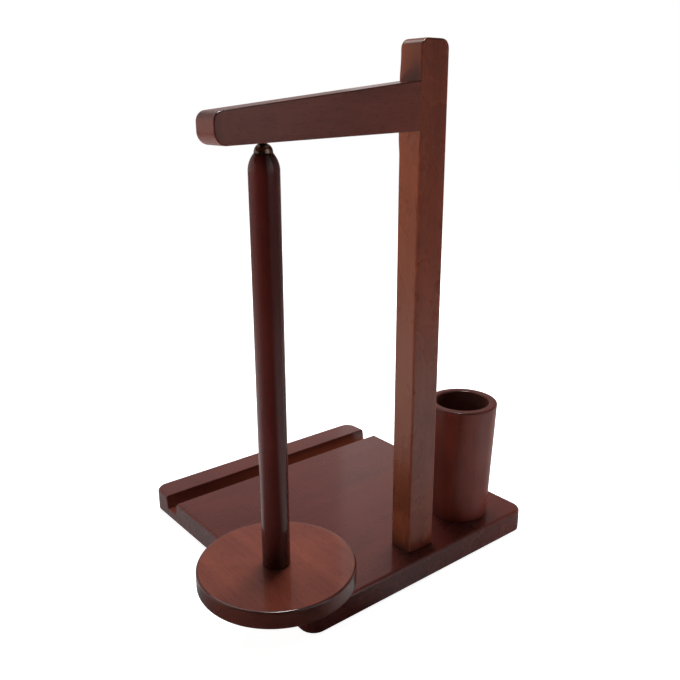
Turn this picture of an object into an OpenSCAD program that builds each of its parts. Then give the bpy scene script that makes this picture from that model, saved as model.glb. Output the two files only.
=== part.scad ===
// Yarn ball holder: a wooden stand whose spindle and tray hang from a magnet by a steel ball.
// The yarn turns with the spindle, a groove in the base props up a phone, and a cup holds hooks.
// +Z is up, +X runs from the hanging spindle to the tool cup, +Y from the post to the groove.
// The origin lies on the table, under the middle of the whole holder.

/* [Base board] */
// Width of the base board, along the groove
board_w = 182; // [160:1:240]
// Depth of the base board, from the post's side to the groove's side
board_d = 188; // [160:1:240]
// Thickness of the base board
board_t = 15; // [13:0.5:24]
// Radius of the board's four upright corners
board_corner_r = 9; // [4:0.5:14]
// Radius rounded over along the board's top edge
board_top_r = 2; // [0.5:0.25:3.5]
// Radius eased along the board's bottom edge
board_bottom_r = 0.8; // [0.25:0.05:1.5]

/* [Phone groove] */
// Width of the strip of board left beyond the groove
groove_strip_w = 19; // [12:0.5:28]
// Width of the groove at the board's top face
groove_w = 15; // [12:0.5:20]
// Width of the groove's floor
groove_floor_w = 13; // [8:0.5:15]
// Depth of the groove
groove_depth = 9; // [5:0.5:11]

/* [Post] */
// Width of the post, along the arm
post_w = 20; // [18:0.5:28]
// Depth of the post, which is also the arm's
post_d = 16; // [14:0.5:24]
// Length of the post above the board
post_h = 295; // [240:1:340]
// Radius of the post's two top corners, seen from the front
post_top_r = 5; // [1:0.25:7]
// Distance from the board's front edge to the post's front face
post_inset = 9; // [5:0.5:20]
// Distance of the post from the middle of the board, towards the cup
post_shift = 1; // [-8:0.5:8]
// Radius eased along the upright edges of the post
post_edge_r = 0.8; // [0.2:0.1:2]

/* [Arm] */
// Length of the arm, from the post's face to its free end
arm_reach = 121; // [105:1:140]
// Height of the arm where it meets the post
arm_root_h = 25; // [21:0.5:34]
// Height of the arm at its free end
arm_tip_h = 14.5; // [12.5:0.5:20]
// Fall of the arm's underside from the post to the free end
arm_fall = 3.5; // [0:0.5:8]
// Distance from the post's top down to the arm's top
arm_drop = 20.5; // [8:0.5:40]
// Radius of the free end's top corner
arm_tip_top_r = 5; // [1:0.25:6]
// Radius of the free end's bottom corner
arm_tip_bottom_r = 6; // [1:0.25:6]

/* [Magnets and ball] */
// Diameter of the magnet in the arm
magnet_d = 10; // [8:0.5:11]
// Thickness of the magnet in the arm
magnet_t = 4; // [3:0.5:6]
// Distance from the arm's free end to the middle of its magnet
magnet_inset = 29.5; // [16:0.5:40]
// Diameter of the steel ball that the spindle hangs by
ball_d = 9; // [8:0.5:10]
// Diameter of the magnet in the spindle's tip
tip_magnet_d = 6; // [4:0.5:7]
// Thickness of the magnet in the spindle's tip
tip_magnet_t = 5; // [3:0.5:8]
// Thickness of the dished pad under the ball
seat_t = 0.5; // [0.3:0.05:0.5]

/* [Spindle and tray] */
// Diameter of the spindle
spindle_d = 15; // [14.5:0.25:20]
// Height of the spindle's rounded shoulder
shoulder_h = 8; // [6:0.25:9]
// Radius of the curve of the shoulder
shoulder_r = 12.5; // [12:0.25:14]
// Diameter of the tray
tray_d = 86; // [60:1:110]
// Thickness of the tray
tray_t = 10; // [8:0.5:16]
// Height of the tray's underside above the board
tray_lift = 18; // [12:0.5:40]
// Radius rounded over along the tray's edges
tray_edge_r = 1.2; // [0.4:0.1:3]

/* [Tool cup] */
// Diameter of the cup at its rim
cup_top_d = 45; // [40:0.5:60]
// Diameter of the cup at its foot
cup_foot_d = 38.5; // [36:0.5:50]
// Height of the cup
cup_h = 78.5; // [60:0.5:110]
// Diameter of the cup's bore
cup_bore_d = 34; // [24:0.5:35]
// Thickness of the cup's floor
cup_floor_t = 10; // [9:0.5:16]
// Radius rounded over at the cup's rim
cup_rim_r = 1.2; // [0.4:0.1:2]
// Distance from the board's right edge to the middle of the cup
cup_inset_x = 36; // [26:0.5:60]
// Distance from the board's front edge to the middle of the cup
cup_inset_y = 28.5; // [26:0.5:60]

/* [Screws and dowels] */
// Diameter of the wood screws
screw_d = 4; // [3:0.5:5]
// Diameter of the screw heads
screw_head_d = 7.6; // [6:0.2:9]
// Length of the two screws that hold the post
post_screw_len = 45; // [35:1:60]
// Distance between the two screws that hold the post
post_screw_pitch = 10; // [9:0.5:12]
// Length of the screw that holds the cup
cup_screw_len = 22; // [18:1:24]
// Length of the screw that holds the tray
tray_screw_len = 35; // [25:1:50]
// Diameter of the dowels between the arm and the post
dowel_d = 6; // [4:0.5:8]
// Length of the dowels between the arm and the post
dowel_len = 24; // [16:1:30]
// Distance between the two dowels
dowel_pitch = 12; // [9:0.5:14]

/* [Foot pads] */
// Diameter of the foot pads
pad_d = 12; // [8:0.5:20]
// Thickness of the foot pads
pad_t = 1.5; // [1:0.25:3]
// Distance from the board's edges to the middle of each foot pad
pad_inset = 16; // [12:0.5:24]

/* [Hidden] */
$fn = 96;

// How far a cutting shape runs past the face that it cuts
overrun = 1;
// Gap between the ball and the arm's magnet
hang_gap = 0.1;
// Gap all round between the ball, its dished pad and the spindle's tip
ball_play = 0.1;
// Depth of the spindle's rim below the middle of the ball
rim_drop = 0.3;
// Gap round a magnet in its hole, which takes the glue
magnet_play = 0.1;
// Gap round the tip's magnet, which the spindle turns about
turn_play = 0.06;
// Distance from the dished pad down to the tip's magnet
tip_magnet_gap = 0.35;
// Gap round a screw where it only passes through
screw_play = 0.2;
// Space left past the point of a screw and past the end of a dowel
end_space = 0.6;
// Length of a screw's point
screw_point = 5;
// Width left at the very end of a screw's point
screw_tip_d = 0.8;
// Width of the cross recess's slots in a screw head
recess_w = 0.9;
// Length of the cross recess's slots in a screw head
recess_len = 4.2;
// Depth of the cross recess in a screw head
recess_depth = 1.3;
// Bevel at the ends of a dowel
dowel_bevel = 0.8;
// Radius eased along a foot pad's lower edge
pad_edge_r = 0.5;

// Stained mahogany of the base, the post, the arm and the tray
mahogany = "#6b4038";
// Darker mahogany of the spindle and the tool cup
dark_mahogany = "#50302c";

// Angle from straight down to the dished pad's rim, seen from the middle of the ball
seat_angle = 42;
// Angle from straight down to the top of the pocket that the pad stands in
pocket_angle = 70;

// Places in plan are measured from the middle of the board, and heights from its underside
post_x = post_shift;
post_y = -board_d / 2 + post_inset + post_d / 2;
post_face_x = post_x - post_w / 2;
post_top_z = board_t + post_h;

arm_tip_x = post_face_x - arm_reach;
arm_root_top_z = post_top_z - arm_drop;
arm_root_z = arm_root_top_z - arm_root_h;
arm_tip_z = arm_root_z - arm_fall;
arm_slope = atan(arm_fall / arm_reach);
dowel_z = arm_root_z + arm_root_h / 2;

magnet_x = arm_tip_x + magnet_inset;
magnet_z = arm_tip_z + magnet_inset * arm_fall / arm_reach;

ball_r = ball_d / 2;
ball_x = magnet_x + (ball_r + hang_gap) * sin(arm_slope);
ball_z = magnet_z - (ball_r + hang_gap) * cos(arm_slope);
lip_r = ball_r + ball_play;
seat_outer_r = lip_r + seat_t;
pocket_r = seat_outer_r + ball_play;
tip_magnet_top = seat_outer_r + tip_magnet_gap;

tray_z = board_t + tray_lift;
tray_top_z = tray_z + tray_t;
rim_z = ball_z - rim_drop;
shoulder_z = rim_z - shoulder_h;

cup_x = board_w / 2 - cup_inset_x;
cup_y = -board_d / 2 + cup_inset_y;

groove_y = board_d / 2 - groove_strip_w - groove_w / 2;
screw_head_h = (screw_head_d - screw_d) / 2;

// The origin is moved from the board's middle to the middle of everything, and up to the pads' feet
left_x = min(-board_w / 2, ball_x - tray_d / 2);
front_y = min(-board_d / 2, post_y - tray_d / 2);
origin_x = (left_x + board_w / 2) / 2;
origin_y = (front_y + board_d / 2) / 2;

function unit(v) = v / norm(v);

// Half the angle at corner b of the path a, b, c
function half_angle(a, b, c) = acos(unit(a - b) * unit(c - b)) / 2;

// Where an arc of radius r starts and ends at corner b, or b itself where the corner is sharp
function corner_points(a, b, c, r) =
    r == 0 ? [b] : [for (end = [a, c]) b + unit(end - b) * r / tan(half_angle(a, b, c))];

// Middle of the arc of radius r at corner b
function corner_centre(a, b, c, r) =
    b + unit(unit(a - b) + unit(c - b)) * r / sin(half_angle(a, b, c));

// Closed outline whose corners are rounded by the radii given
module rounded_outline(points, radii) {
    n = len(points);
    before = [for (i = [0 : n - 1]) points[(i + n - 1) % n]];
    after = [for (i = [0 : n - 1]) points[(i + 1) % n]];
    polygon([for (i = [0 : n - 1]) each corner_points(before[i], points[i], after[i], radii[i])]);
    for (i = [0 : n - 1])
        if (radii[i] > 0)
            translate(corner_centre(before[i], points[i], after[i], radii[i]))
                circle(r = radii[i]);
}

// Rectangle standing on the first axis, with its lower and its upper corners rounded
module rounded_section(width, height, lower_r, upper_r)
    rounded_outline([[-width / 2, 0], [width / 2, 0], [width / 2, height], [-width / 2, height]],
                    [lower_r, lower_r, upper_r, upper_r]);

// Half of such a section, to be turned about the upright axis
module half_section(radius, height, lower_r, upper_r)
    rounded_outline([[0, 0], [radius, 0], [radius, height], [0, height]],
                    [0, lower_r, upper_r, 0]);

// Moves a piece from the board's own frame to the holder's frame
module in_frame(x = 0, y = 0, z = 0)
    translate([x - origin_x, y - origin_y, z + pad_t]) children();

// Slab with rounded upright corners, whose top and bottom edges are rounded all the way round
module rounded_slab() {
    straight_w = board_w - 2 * board_corner_r;
    straight_d = board_d - 2 * board_corner_r;
    rotate([90, 0, 90])
        linear_extrude(straight_w, center = true)
            rounded_section(board_d, board_t, board_bottom_r, board_top_r);
    rotate([90, 0, 0])
        linear_extrude(straight_d, center = true)
            rounded_section(board_w, board_t, board_bottom_r, board_top_r);
    for (side_x = [-1, 1], side_y = [-1, 1])
        translate([side_x * straight_w / 2, side_y * straight_d / 2, 0])
            rotate_extrude()
                half_section(board_corner_r, board_t, board_bottom_r, board_top_r);
}

// Long trough with sloping walls, open at both ends of the board
module groove_cut() {
    floor_z = board_t - groove_depth;
    rotate([90, 0, 90])
        linear_extrude(board_w + 2 * overrun, center = true)
            polygon([[groove_y - groove_floor_w / 2, floor_z],
                     [groove_y + groove_floor_w / 2, floor_z],
                     [groove_y + groove_w / 2, board_t],
                     [groove_y + groove_w / 2, board_t + overrun],
                     [groove_y - groove_w / 2, board_t + overrun],
                     [groove_y - groove_w / 2, board_t]]);
}

// Countersunk hole, drilled upwards from the face that the screw head lies flush with
module screw_hole(thickness) {
    translate([0, 0, -overrun]) cylinder(d = screw_d + 2 * screw_play, h = thickness + 2 * overrun);
    cylinder(d1 = screw_head_d, d2 = screw_d, h = screw_head_h);
}

// Hole that a screw bites into, for the length of screw past its first plate
module pilot_hole(depth)
    translate([0, 0, -overrun]) cylinder(d = screw_d, h = depth + overrun + end_space);

// Countersunk wood screw standing on its head, with a cross recess
module wood_screw(length)
    difference() {
        union() {
            cylinder(d1 = screw_head_d, d2 = screw_d, h = screw_head_h);
            cylinder(d = screw_d, h = length - screw_point);
            translate([0, 0, length - screw_point])
                cylinder(d1 = screw_d, d2 = screw_tip_d, h = screw_point);
        }
        for (turn = [0, 90])
            rotate([0, 0, turn])
                translate([-recess_len / 2, -recess_w / 2, -overrun])
                    cube([recess_len, recess_w, recess_depth + overrun]);
    }

// Places whatever is given at both post screws
module at_post_screws()
    for (side = [-1, 1]) translate([post_x + side * post_screw_pitch / 2, post_y, 0]) children();

// Places whatever is given at both dowels, turned to point from the arm into the post
module at_dowels()
    for (side = [-1, 1])
        translate([post_face_x, post_y, dowel_z + side * dowel_pitch / 2])
            rotate([0, 90, 0]) children();

// Places whatever is given at the arm's magnet, pointing up into the arm
module at_magnet()
    translate([magnet_x, post_y, magnet_z]) rotate([0, -arm_slope, 0]) children();

module base_board()
    color(mahogany) in_frame()
        difference() {
            rounded_slab();
            groove_cut();
            at_post_screws() screw_hole(board_t);
            translate([cup_x, cup_y, 0]) screw_hole(board_t);
        }

module foot_pads()
    color("dimgray")
        for (side_x = [-1, 1], side_y = [-1, 1])
            in_frame(side_x * (board_w / 2 - pad_inset), side_y * (board_d / 2 - pad_inset), -pad_t)
                rotate_extrude()
                    half_section(pad_d / 2, pad_t, pad_edge_r, 0);

module post()
    color(mahogany) in_frame()
        difference() {
            intersection() {
                translate([post_x, post_y, board_t])
                    rotate([90, 0, 0])
                        linear_extrude(post_d, center = true)
                            rounded_section(post_w, post_h, 0, post_top_r);
                translate([post_x, post_y, board_t])
                    linear_extrude(post_h)
                        translate([0, -post_d / 2])
                            rounded_section(post_w, post_d, post_edge_r, post_edge_r);
            }
            translate([0, 0, board_t])
                at_post_screws() pilot_hole(post_screw_len - board_t);
            at_dowels() cylinder(d = dowel_d, h = dowel_len / 2 + end_space);
        }

module post_screws()
    color("silver") in_frame()
        at_post_screws() wood_screw(post_screw_len);

// Side view of the arm, which tapers towards its rounded free end
module arm_outline()
    rounded_outline([[arm_tip_x, arm_tip_z], [post_face_x, arm_root_z],
                     [post_face_x, arm_root_top_z], [arm_tip_x, arm_tip_z + arm_tip_h]],
                    [arm_tip_bottom_r, 0, 0, arm_tip_top_r]);

module arm()
    color(mahogany) in_frame()
        difference() {
            translate([0, post_y, 0])
                rotate([90, 0, 0])
                    linear_extrude(post_d, center = true)
                        arm_outline();
            at_dowels()
                translate([0, 0, -dowel_len / 2 - end_space])
                    cylinder(d = dowel_d, h = dowel_len / 2 + end_space + overrun);
            at_magnet()
                translate([0, 0, -overrun])
                    cylinder(d = magnet_d + 2 * magnet_play, h = magnet_t + magnet_play + overrun);
        }

module arm_dowels()
    color("burlywood") in_frame()
        at_dowels()
            translate([0, 0, -dowel_len / 2]) {
                cylinder(d1 = dowel_d - 2 * dowel_bevel, d2 = dowel_d, h = dowel_bevel);
                translate([0, 0, dowel_bevel]) cylinder(d = dowel_d, h = dowel_len - 2 * dowel_bevel);
                translate([0, 0, dowel_len - dowel_bevel])
                    cylinder(d1 = dowel_d, d2 = dowel_d - 2 * dowel_bevel, h = dowel_bevel);
            }

module arm_magnet()
    color("silver") in_frame()
        at_magnet() cylinder(d = magnet_d, h = magnet_t);

module tool_cup()
    color(dark_mahogany) in_frame(cup_x, cup_y, board_t)
        difference() {
            rotate_extrude()
                rounded_outline([[0, 0], [cup_foot_d / 2, 0], [cup_top_d / 2, cup_h],
                                 [cup_bore_d / 2, cup_h], [cup_bore_d / 2, cup_floor_t],
                                 [0, cup_floor_t]],
                                [0, 0, cup_rim_r, cup_rim_r, 0, 0]);
            pilot_hole(cup_screw_len - board_t);
        }

module cup_screw()
    color("silver") in_frame(cup_x, cup_y, 0)
        wood_screw(cup_screw_len);

module pivot_ball()
    color("gainsboro") in_frame(ball_x, post_y, ball_z)
        sphere(d = ball_d);

// Dished pad that the ball sits on, cut from a thin ball shell
module ball_seat()
    color("goldenrod") in_frame(ball_x, post_y, ball_z)
        rotate_extrude()
            intersection() {
                difference() {
                    circle(r = seat_outer_r);
                    circle(r = lip_r);
                }
                translate([0, -seat_outer_r - overrun])
                    square([seat_outer_r, seat_outer_r * (1 - cos(seat_angle)) + overrun]);
            }

module tip_magnet()
    color("silver") in_frame(ball_x, post_y, ball_z - tip_magnet_top - tip_magnet_t)
        cylinder(d = tip_magnet_d, h = tip_magnet_t);

// Socket for the ball, with a wider pocket for its pad and a hole for the magnet below them
module tip_socket() {
    magnet_hole_h = tip_magnet_top + tip_magnet_t + turn_play;
    sphere(r = lip_r);
    rotate_extrude()
        intersection() {
            circle(r = pocket_r);
            translate([0, -pocket_r - overrun])
                square([pocket_r, pocket_r * (1 - cos(pocket_angle)) + overrun]);
        }
    translate([0, 0, -magnet_hole_h])
        cylinder(d = tip_magnet_d + 2 * turn_play, h = magnet_hole_h);
}

module spindle_rod()
    color(dark_mahogany) in_frame(ball_x, post_y, 0)
        difference() {
            rotate_extrude() {
                translate([0, tray_top_z])
                    square([spindle_d / 2, shoulder_z - tray_top_z]);
                intersection() {
                    translate([0, shoulder_z]) square([spindle_d / 2, shoulder_h]);
                    translate([spindle_d / 2 - shoulder_r, shoulder_z]) circle(r = shoulder_r);
                }
            }
            translate([0, 0, ball_z]) tip_socket();
            translate([0, 0, tray_top_z]) pilot_hole(tray_screw_len - tray_t);
        }

module tray_disc()
    color(mahogany) in_frame(ball_x, post_y, tray_z)
        difference() {
            rotate_extrude()
                half_section(tray_d / 2, tray_t, tray_edge_r, tray_edge_r);
            screw_hole(tray_t);
        }

module tray_screw()
    color("silver") in_frame(ball_x, post_y, tray_z)
        wood_screw(tray_screw_len);

base_board();
foot_pads();
post();
post_screws();
arm();
arm_dowels();
arm_magnet();
tool_cup();
cup_screw();
pivot_ball();
ball_seat();
tip_magnet();
spindle_rod();
tray_disc();
tray_screw();
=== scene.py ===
"""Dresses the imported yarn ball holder: lacquered mahogany, a steel ball, magnets, screws and a white studio.

Each sub-assembly is a class that holds its sizes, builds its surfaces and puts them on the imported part's
bodies. Sizes are in millimetres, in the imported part's own frame, until a surface becomes a mesh.
"""

import logging
from collections.abc import Callable
from dataclasses import dataclass
from enum import Enum
from typing import ClassVar

import bmesh
import bpy
import numpy as np
from mathutils import Matrix, Vector

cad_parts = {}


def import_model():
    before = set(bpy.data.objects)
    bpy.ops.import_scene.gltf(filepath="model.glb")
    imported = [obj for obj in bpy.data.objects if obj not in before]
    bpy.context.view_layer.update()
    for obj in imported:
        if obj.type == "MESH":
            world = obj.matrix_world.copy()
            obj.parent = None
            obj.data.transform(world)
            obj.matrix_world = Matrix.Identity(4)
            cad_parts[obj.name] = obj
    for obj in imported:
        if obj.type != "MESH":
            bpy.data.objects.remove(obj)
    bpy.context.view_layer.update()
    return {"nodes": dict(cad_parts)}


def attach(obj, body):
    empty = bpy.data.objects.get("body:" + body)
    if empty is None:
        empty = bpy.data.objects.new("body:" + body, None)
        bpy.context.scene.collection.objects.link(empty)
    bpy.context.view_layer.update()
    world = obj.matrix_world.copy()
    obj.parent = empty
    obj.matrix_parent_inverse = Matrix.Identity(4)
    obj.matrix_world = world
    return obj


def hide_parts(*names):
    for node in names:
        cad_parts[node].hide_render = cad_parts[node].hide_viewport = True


MM = 0.001
EDGE = "edge"
PHOTO_SIDE_PX = 680
SENSOR_MM = 36.0
SHARP_ANGLE = np.radians(32.0)
JOIN_DISTANCE = 1e-7
FOOT_EDGE_R = 0.4
CUT_OVERRUN = 1.0
FACE_SIZE_WEIGHT = 100
BACKDROP_TOP = (0.35, 0.85)
BACKDROP_DROP = 0.7
TO_CAMERA = (-0.628, -0.778, 0.0)
TO_VIEWERS_RIGHT = (0.778, -0.628, 0.0)

log = logging.getLogger("yarn_ball_holder")

Pair = tuple[float, float]
Triple = tuple[float, float, float]
Socket = bpy.types.NodeSocket
Outputs = bpy.types.bpy_prop_collection


def paint(tone: Triple) -> tuple[float, float, float, float]:
    """Turns a colour on the 0 to 255 screen scale into the linear one that the shaders take.

    Args:
        tone: Red, green and blue on the screen scale.

    Returns:
        Linear red, green and blue, and an alpha of 1.
    """
    screen = np.array(tone) / 255.0
    linear = np.where(screen <= 0.04045, screen / 12.92, ((screen + 0.055) / 1.055) ** 2.4)
    return (*(float(part) for part in linear), 1.0)


class Cap(Enum):
    """How the end of a swept surface is closed."""

    FLAT = "one flat face"
    POLE = "faces that meet in one point"


class Grain(Enum):
    """Direction that the wood's grain runs in, as the turn that lays it along the pattern's own X."""

    ALONG_X = (0.0, 0.0, 0.0)
    ALONG_Y = (0.0, 0.0, -np.pi / 2)
    ALONG_Z = (0.0, np.pi / 2, 0.0)


@dataclass
class Sweep:
    """Closed surface that runs from ring to ring, each ring a loop of points round the piece.

    The surface is a grid: one parameter counts the rings, the other the points of a ring.
    """

    rings: np.ndarray
    edge: np.ndarray
    first: Cap = Cap.FLAT
    last: Cap = Cap.FLAT

    def faces(self) -> list[np.ndarray]:
        """Joins each point to the next one of its ring and to the same ones of the next ring.

        Returns:
            Arrays of corner numbers, one array for each number of corners.
        """
        count, loop = self.rings.shape[:2]
        here = np.arange(count * loop).reshape(count, loop)
        beside = np.roll(here, -1, axis=1)
        quads = np.stack([here[:-1], beside[:-1], beside[1:], here[1:]], axis=-1).reshape(-1, 4)
        made = [quads]
        for cap, ring, pole in ((self.first, here[0], count * loop), (self.last, here[-1], count * loop + 1)):
            if cap is Cap.FLAT:
                made.append(ring[None, :])
            else:
                made.append(np.stack([ring, np.roll(ring, -1), np.full(loop, pole)], axis=-1))
        return made

    def points(self) -> np.ndarray:
        """Lists the points of all rings and, last, the middle of the first ring and of the last ring."""
        ends = self.rings[[0, -1]].mean(axis=1)
        return np.concatenate([self.rings.reshape(-1, 3), ends])

    def mesh(self, name: str) -> bpy.types.Mesh:
        """Puts the surface into a mesh in metres, with its share of eased edge as a point attribute.

        Args:
            name: Name of the mesh.

        Returns:
            A closed mesh whose faces point outwards.
        """
        points, faces = self.points(), self.faces()
        corners = np.concatenate([group.ravel() for group in faces])
        sizes = np.concatenate([np.full(len(group), group.shape[1]) for group in faces])
        mesh = bpy.data.meshes.new(name)
        mesh.vertices.add(len(points))
        mesh.vertices.foreach_set("co", (points * MM).astype(np.float32).ravel())
        mesh.loops.add(len(corners))
        mesh.loops.foreach_set("vertex_index", corners.astype(np.int32))
        mesh.polygons.add(len(sizes))
        mesh.polygons.foreach_set("loop_start", (np.cumsum(sizes) - sizes).astype(np.int32))
        mesh.update(calc_edges=True)
        shares = np.concatenate([self.edge.ravel(), [0.0, 0.0]]).astype(np.float32)
        mesh.attributes.new(EDGE, "FLOAT", "POINT").data.foreach_set("value", shares)
        tidy(mesh)
        return mesh


def tidy(mesh: bpy.types.Mesh) -> None:
    """Joins points that lie on each other, drops loose ones, and turns all faces outwards.

    Args:
        mesh: Mesh to be tidied in place.
    """
    work = bmesh.new()
    work.from_mesh(mesh)
    bmesh.ops.remove_doubles(work, verts=work.verts, dist=JOIN_DISTANCE)
    loose = [vertex for vertex in work.verts if not vertex.link_faces]
    bmesh.ops.delete(work, geom=loose, context="VERTS")
    bmesh.ops.recalc_face_normals(work, faces=work.faces)
    work.to_mesh(mesh)
    work.free()
    shade(mesh)


def shade(mesh: bpy.types.Mesh) -> None:
    """Shades a mesh smoothly, apart from its sharp edges.

    Args:
        mesh: Mesh to be shaded in place.
    """
    mesh.polygons.foreach_set("use_smooth", np.ones(len(mesh.polygons), bool))
    mesh.set_sharp_from_angle(angle=SHARP_ANGLE)
    mesh.update()


def show(name: str, data: bpy.types.ID) -> bpy.types.Object:
    """Makes an object and puts it into the scene.

    Args:
        name: Name of the object.
        data: Its mesh, lamp or camera.

    Returns:
        The object.
    """
    thing = bpy.data.objects.new(name, data)
    bpy.context.scene.collection.objects.link(thing)
    return thing


def sweep_angles(steps: int) -> np.ndarray:
    """Angles from 0 to a right angle in equal steps."""
    return np.linspace(0.0, np.pi / 2, steps + 1)


def from_end(radius: float, steps: int) -> np.ndarray:
    """Distances from a rounded end at equal turns of its arc: the radius times 1 less the turn's sine."""
    return radius * (1 - np.sin(sweep_angles(steps)))


def quarter(radius: float, reach: np.ndarray) -> np.ndarray:
    """How far a quarter circle moves in: the radius less the root of its square less the reach's square."""
    return radius - np.sqrt(radius ** 2 - np.maximum(reach, 0.0) ** 2)


def arc(centre: Pair, radius: float, start: float, end: float, steps: int) -> np.ndarray:
    """Points on an arc: the centre plus the radius times the cosine and the sine of the angle.

    Args:
        centre: Middle of the arc.
        radius: Radius of the arc.
        start: First angle, in degrees.
        end: Last angle, in degrees.
        steps: Number of steps from the first to the last.

    Returns:
        An array of points, the arc's share of eased edge in its third column: 0 at both ends, 1 in the
        middle.
    """
    turn = np.linspace(np.radians(start), np.radians(end), steps + 1)
    share = np.sin(np.linspace(0.0, np.pi, steps + 1))
    return np.stack([centre[0] + radius * np.cos(turn), centre[1] + radius * np.sin(turn), share], axis=1)


def flat(*points: Pair, share: float = 0.0) -> np.ndarray:
    """Profile points that all have the same share of eased edge."""
    return np.array([[*point, share] for point in points])


def turned_foot(radius: float, height: float) -> np.ndarray:
    """Start of a turned profile: flat outwards from the axis, then a small quarter circle up into the wall.

    Args:
        radius: Radius of the foot.
        height: Height of its flat face.

    Returns:
        Profile points from the axis to the wall.
    """
    middle = radius - FOOT_EDGE_R
    return np.concatenate([flat((0.0, height), (middle, height)),
                           arc((middle, height + FOOT_EDGE_R), FOOT_EDGE_R, -90, 0, 4)])


def side_by_side(parts: list[np.ndarray], count: int) -> np.ndarray:
    """Puts the parts of a section side by side, each part with a row for every section or one for all."""
    return np.concatenate([np.broadcast_to(part, (count, part.shape[1])) for part in parts], axis=1)


def turned(profile: np.ndarray, centre: Pair, segments: int) -> Sweep:
    """Turns a profile about an upright axis: x and y are the radius times the angle's cosine and sine.

    Args:
        profile: Rows of radius, height and share of eased edge. A first or last radius of 0 makes a pole.
        centre: Place of the axis.
        segments: Number of points in each ring.

    Returns:
        The turned surface.
    """
    poles = [Cap.POLE if end[0] == 0.0 else Cap.FLAT for end in (profile[0], profile[-1])]
    keep = profile[profile[:, 0] > 0.0]
    angle = np.linspace(0.0, 2 * np.pi, segments, endpoint=False)
    radius, height = keep[:, 0, None], keep[:, 1, None]
    rings = np.stack([centre[0] + radius * np.cos(angle), centre[1] + radius * np.sin(angle),
                      np.broadcast_to(height, (len(keep), segments))], axis=-1)
    return Sweep(rings, np.broadcast_to(keep[:, 2, None], (len(keep), segments)), *poles)


def place(sweep: Sweep, name: str, node: str, finish: "Finish", body: str,
          cuts: tuple[Sweep, ...] = ()) -> None:
    """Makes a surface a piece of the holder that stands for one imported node.

    Args:
        sweep: The piece's surface.
        name: Name of the piece.
        node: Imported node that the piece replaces.
        finish: What the piece is made of.
        body: Body that the piece moves with.
        cuts: Closed surfaces that are cut out of it, such as screw holes.
    """
    piece = show(name, sweep.mesh(name))
    for number, cut in enumerate(cuts):
        carve(piece, cut, f"{name}_cut_{number}")
    piece.data.materials.append(finish.material())
    normals = piece.modifiers.new("even_normals", "WEIGHTED_NORMAL")
    normals.keep_sharp, normals.weight = True, FACE_SIZE_WEIGHT
    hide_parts(node)
    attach(piece, body)
    log.info("%s stands for %s: %d faces, %s", name, node, len(piece.data.polygons), finish.name)


def carve(piece: bpy.types.Object, cut: Sweep, name: str) -> None:
    """Cuts a closed surface out of a piece, and leaves only the result.

    Args:
        piece: Object that is cut.
        cut: Surface of what is taken away.
        name: Name for the cutting object while it exists.
    """
    cutter = show(name, cut.mesh(name))
    modifier = piece.modifiers.new("cut", "BOOLEAN")
    modifier.operation, modifier.solver, modifier.object = "DIFFERENCE", "EXACT", cutter
    bpy.context.view_layer.update()
    result = bpy.data.meshes.new_from_object(piece.evaluated_get(bpy.context.evaluated_depsgraph_get()))
    piece.modifiers.clear()
    old, piece.data = piece.data, result
    bpy.data.objects.remove(cutter)
    bpy.data.meshes.remove(old)
    shade(piece.data)


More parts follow.
